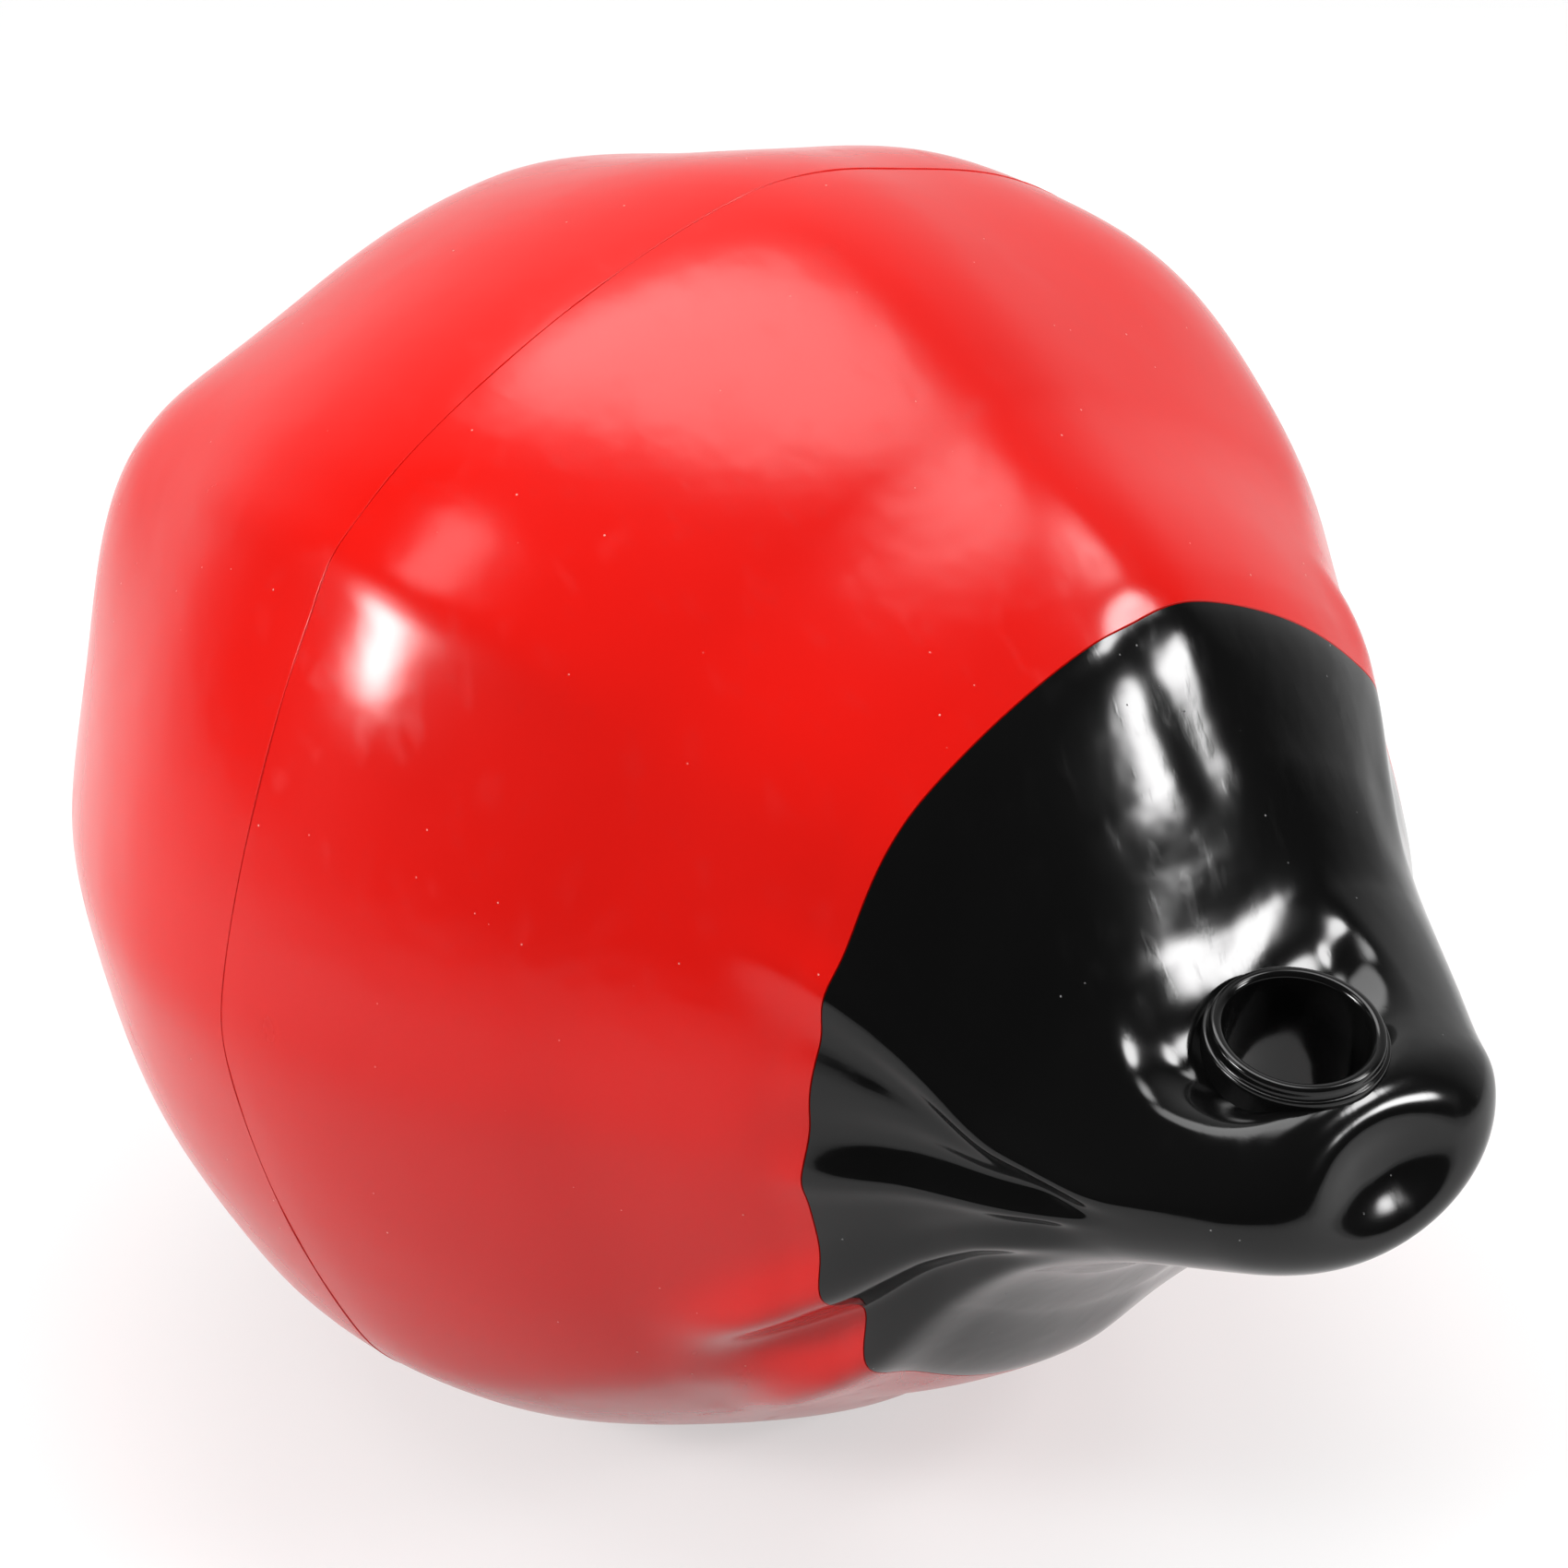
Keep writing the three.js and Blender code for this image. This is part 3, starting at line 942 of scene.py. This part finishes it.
@dataclass(frozen=True)
class Lamp:
    """A soft lamp, placed by the way to it from the ball: metres, watts and degrees.

    Its core is the share of its width, from the middle, that glows in full.
    """

    name: str
    toward: tuple[float, float, float]
    distance: float
    size: tuple[float, float]
    power: float
    core: float = 0.05
    roll: float = 0.0

    def make(self, aim: Vector) -> None:
        """Hangs the lamp and turns it to the fender.

        Args:
            aim: the point that it faces.
        """
        data = bpy.data.lights.new(self.name, "AREA")
        data.shape = "RECTANGLE"
        data.size, data.size_y = self.size
        data.energy = self.power
        self.soften(data)
        made = bpy.data.objects.new(self.name, data)
        bpy.context.collection.objects.link(made)
        way = Vector(self.toward).normalized()
        made.location = aim + way * self.distance
        spin = Quaternion((0, 0, 1), math.radians(self.roll))
        made.rotation_euler = (way.to_track_quat("Z", "Y") @ spin).to_euler()

    def soften(self, data: bpy.types.Light) -> None:
        """Lets the lamp's cloth glow most in its middle and fade to its edge."""
        data.use_nodes = True
        nodes, links = data.node_tree.nodes, data.node_tree.links
        place, centre = nodes.new("ShaderNodeNewGeometry"), nodes.new("ShaderNodeVectorMath")
        apart, fade = nodes.new("ShaderNodeVectorMath"), nodes.new("ShaderNodeMapRange")
        centre.operation = "SUBTRACT"
        centre.inputs[1].default_value = (0.5, 0.5, 0)
        apart.operation = "LENGTH"
        fade.interpolation_type = "SMOOTHERSTEP"
        set_range(fade, 0.5, self.core, 0, 1)
        links.new(place.outputs["Parametric"], centre.inputs[0])
        links.new(centre.outputs[0], apart.inputs[0])
        links.new(apart.outputs["Value"], fade.inputs["Value"])
        links.new(fade.outputs["Result"], nodes["Emission"].inputs["Strength"])


@dataclass
class Studio:
    """The white table, the lamps, the surroundings and the camera.

    The camera's angles are in degrees and its distances in radii of the ball.
    """

    form: SlackForm
    azimuth: float = 49.0
    elevation: float = 27.3
    distance: float = 8.0
    aside: float = 0.0958
    above: float = 0.003
    lens: float = 118.5
    table_tone: float = 0.38
    table_glow: float = 0.54
    table_half: float = 6.0
    fill: float = 0.75
    lamps: tuple[Lamp, ...] = (
        Lamp("overhead_softbox", (-0.17, 0.11, 1.0), 1.5, (1.7, 0.8), 25.0, 0.3, -42.0),
        Lamp("front_softbox", (-0.20, -0.50, 0.84), 1.5, (0.5, 0.6), 4.5, 0.2),
        Lamp("left_softbox", (-0.30, -0.87, 0.42), 1.6, (0.9, 0.9), 23.0),
        Lamp("left_core", (-0.25, -0.91, 0.37), 1.5, (0.8, 0.46), 50.0),
        Lamp("far_lamp", (0.33, 0.41, 0.85), 1.6, (0.55, 0.7), 12.0),
        Lamp("neck_lamp", (0.79, 0.52, 0.35), 1.6, (0.5, 0.36), 21.0, 0.15),
        Lamp("eye_lamp", (0.60, 0.46, 0.66), 1.6, (0.42, 0.36), 14.0, 0.2),
    )

    def middle(self) -> Vector:
        """The middle of the ball, in the frame."""
        return Vector((0, 0, self.form.rest_height * MM))

    def make_camera(self) -> None:
        """Sets the camera at the photograph's angle."""
        turn, tilt = math.radians(self.azimuth), math.radians(self.elevation)
        right = Vector((math.cos(turn), math.sin(turn), 0))
        toward = Vector((math.sin(turn) * math.cos(tilt), -math.cos(turn) * math.cos(tilt), math.sin(tilt)))
        up = toward.cross(right)
        data = bpy.data.cameras.new("camera")
        data.lens = self.lens
        data.sensor_width = 36
        made = bpy.data.objects.new("camera", data)
        bpy.context.collection.objects.link(made)
        radius = self.form.radius * MM
        place = self.middle() + radius * (self.aside * right + self.above * up + self.distance * toward)
        made.matrix_world = Matrix.Translation(place) @ Matrix((right, up, toward)).transposed().to_4x4()
        bpy.context.scene.camera = made

    def seen_ray(self, nodes: bpy.types.Nodes, links: bpy.types.NodeLinks) -> bpy.types.NodeSocket:
        """1 where the camera, a reflection or a clear piece looks, and 0 for plain light."""
        rays = nodes.new("ShaderNodeLightPath")
        total = rays.outputs["Is Camera Ray"]
        for label in ("Is Glossy Ray", "Is Transmission Ray"):
            larger = nodes.new("ShaderNodeMath")
            larger.operation = "MAXIMUM"
            links.new(total, larger.inputs[0])
            links.new(rays.outputs[label], larger.inputs[1])
            total = larger.outputs[0]
        return total

    def make_table(self) -> None:
        """Builds the white table, which keeps the fender's shadow."""
        corners = np.array([(-1, -1, 0), (1, -1, 0), (1, 1, 0), (-1, 1, 0)]) * self.table_half
        made = mesh_object("table", corners, [(0, 1, 2, 3)])
        material = bpy.data.materials.new("white_table")
        material.use_nodes = True
        nodes, links = material.node_tree.nodes, material.node_tree.links
        nodes.clear()
        output, both = nodes.new("ShaderNodeOutputMaterial"), nodes.new("ShaderNodeAddShader")
        matt, glow = nodes.new("ShaderNodeBsdfDiffuse"), nodes.new("ShaderNodeEmission")
        strength = nodes.new("ShaderNodeMath")
        matt.inputs["Color"].default_value = (*[self.table_tone] * 3, 1)
        strength.operation = "MULTIPLY"
        strength.inputs[1].default_value = self.table_glow
        links.new(self.seen_ray(nodes, links), strength.inputs[0])
        links.new(strength.outputs[0], glow.inputs["Strength"])
        links.new(matt.outputs[0], both.inputs[0])
        links.new(glow.outputs[0], both.inputs[1])
        links.new(both.outputs[0], output.inputs["Surface"])
        made.data.materials.append(material)

    def make_surroundings(self) -> None:
        """Builds the room: white behind the fender, dark behind the camera, with an even fill light."""
        world = bpy.data.worlds.new("room")
        bpy.context.scene.world = world
        world.use_nodes = True
        nodes, links = world.node_tree.nodes, world.node_tree.links
        nodes.clear()
        turn = math.radians(self.azimuth)
        back = (-math.sin(turn), math.cos(turn), 0)
        place, dot = nodes.new("ShaderNodeTexCoord"), nodes.new("ShaderNodeVectorMath")
        dot.operation = "DOT_PRODUCT"
        dot.inputs[1].default_value = back
        spread = nodes.new("ShaderNodeMapRange")
        set_range(spread, 0.2, 0.72, 0.03, 1)
        seen, air = nodes.new("ShaderNodeMix"), nodes.new("ShaderNodeBackground")
        output = nodes.new("ShaderNodeOutputWorld")
        links.new(place.outputs["Generated"], dot.inputs[0])
        links.new(dot.outputs["Value"], spread.inputs["Value"])
        links.new(self.seen_ray(nodes, links), seen.inputs["Factor"])
        seen.inputs["A"].default_value = self.fill
        links.new(spread.outputs["Result"], seen.inputs["B"])
        links.new(seen.outputs["Result"], air.inputs["Strength"])
        links.new(air.outputs[0], output.inputs["Surface"])

    def make(self) -> None:
        """Builds the whole studio."""
        self.make_camera()
        self.make_table()
        self.make_surroundings()
        for lamp in self.lamps:
            lamp.make(self.middle())
        bpy.context.scene.view_settings.view_transform = "Standard"


def main() -> None:
    """Builds the fender and its studio."""
    logging.basicConfig(level=logging.INFO, format="%(name)s: %(message)s")
    Studio(FORM).make()
    red, black = RED_VINYL.make(), BLACK_VINYL.make()
    ball = RedBall(FORM)
    dress(ball.make_skin(), red, "red_vinyl", "ball")
    dress(ball.make_line(red), red, "red_vinyl")
    dress(RopeHold(FORM).make(), black, "black_vinyl", "rope_hold")
    valve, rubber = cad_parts["air_valve"], ValveRubber().make()
    for place in valve.material_slots:
        place.material = rubber
    LOG.info("%s: %d faces", valve.name, len(valve.data.polygons))


if __name__ == "__main__":
    main()
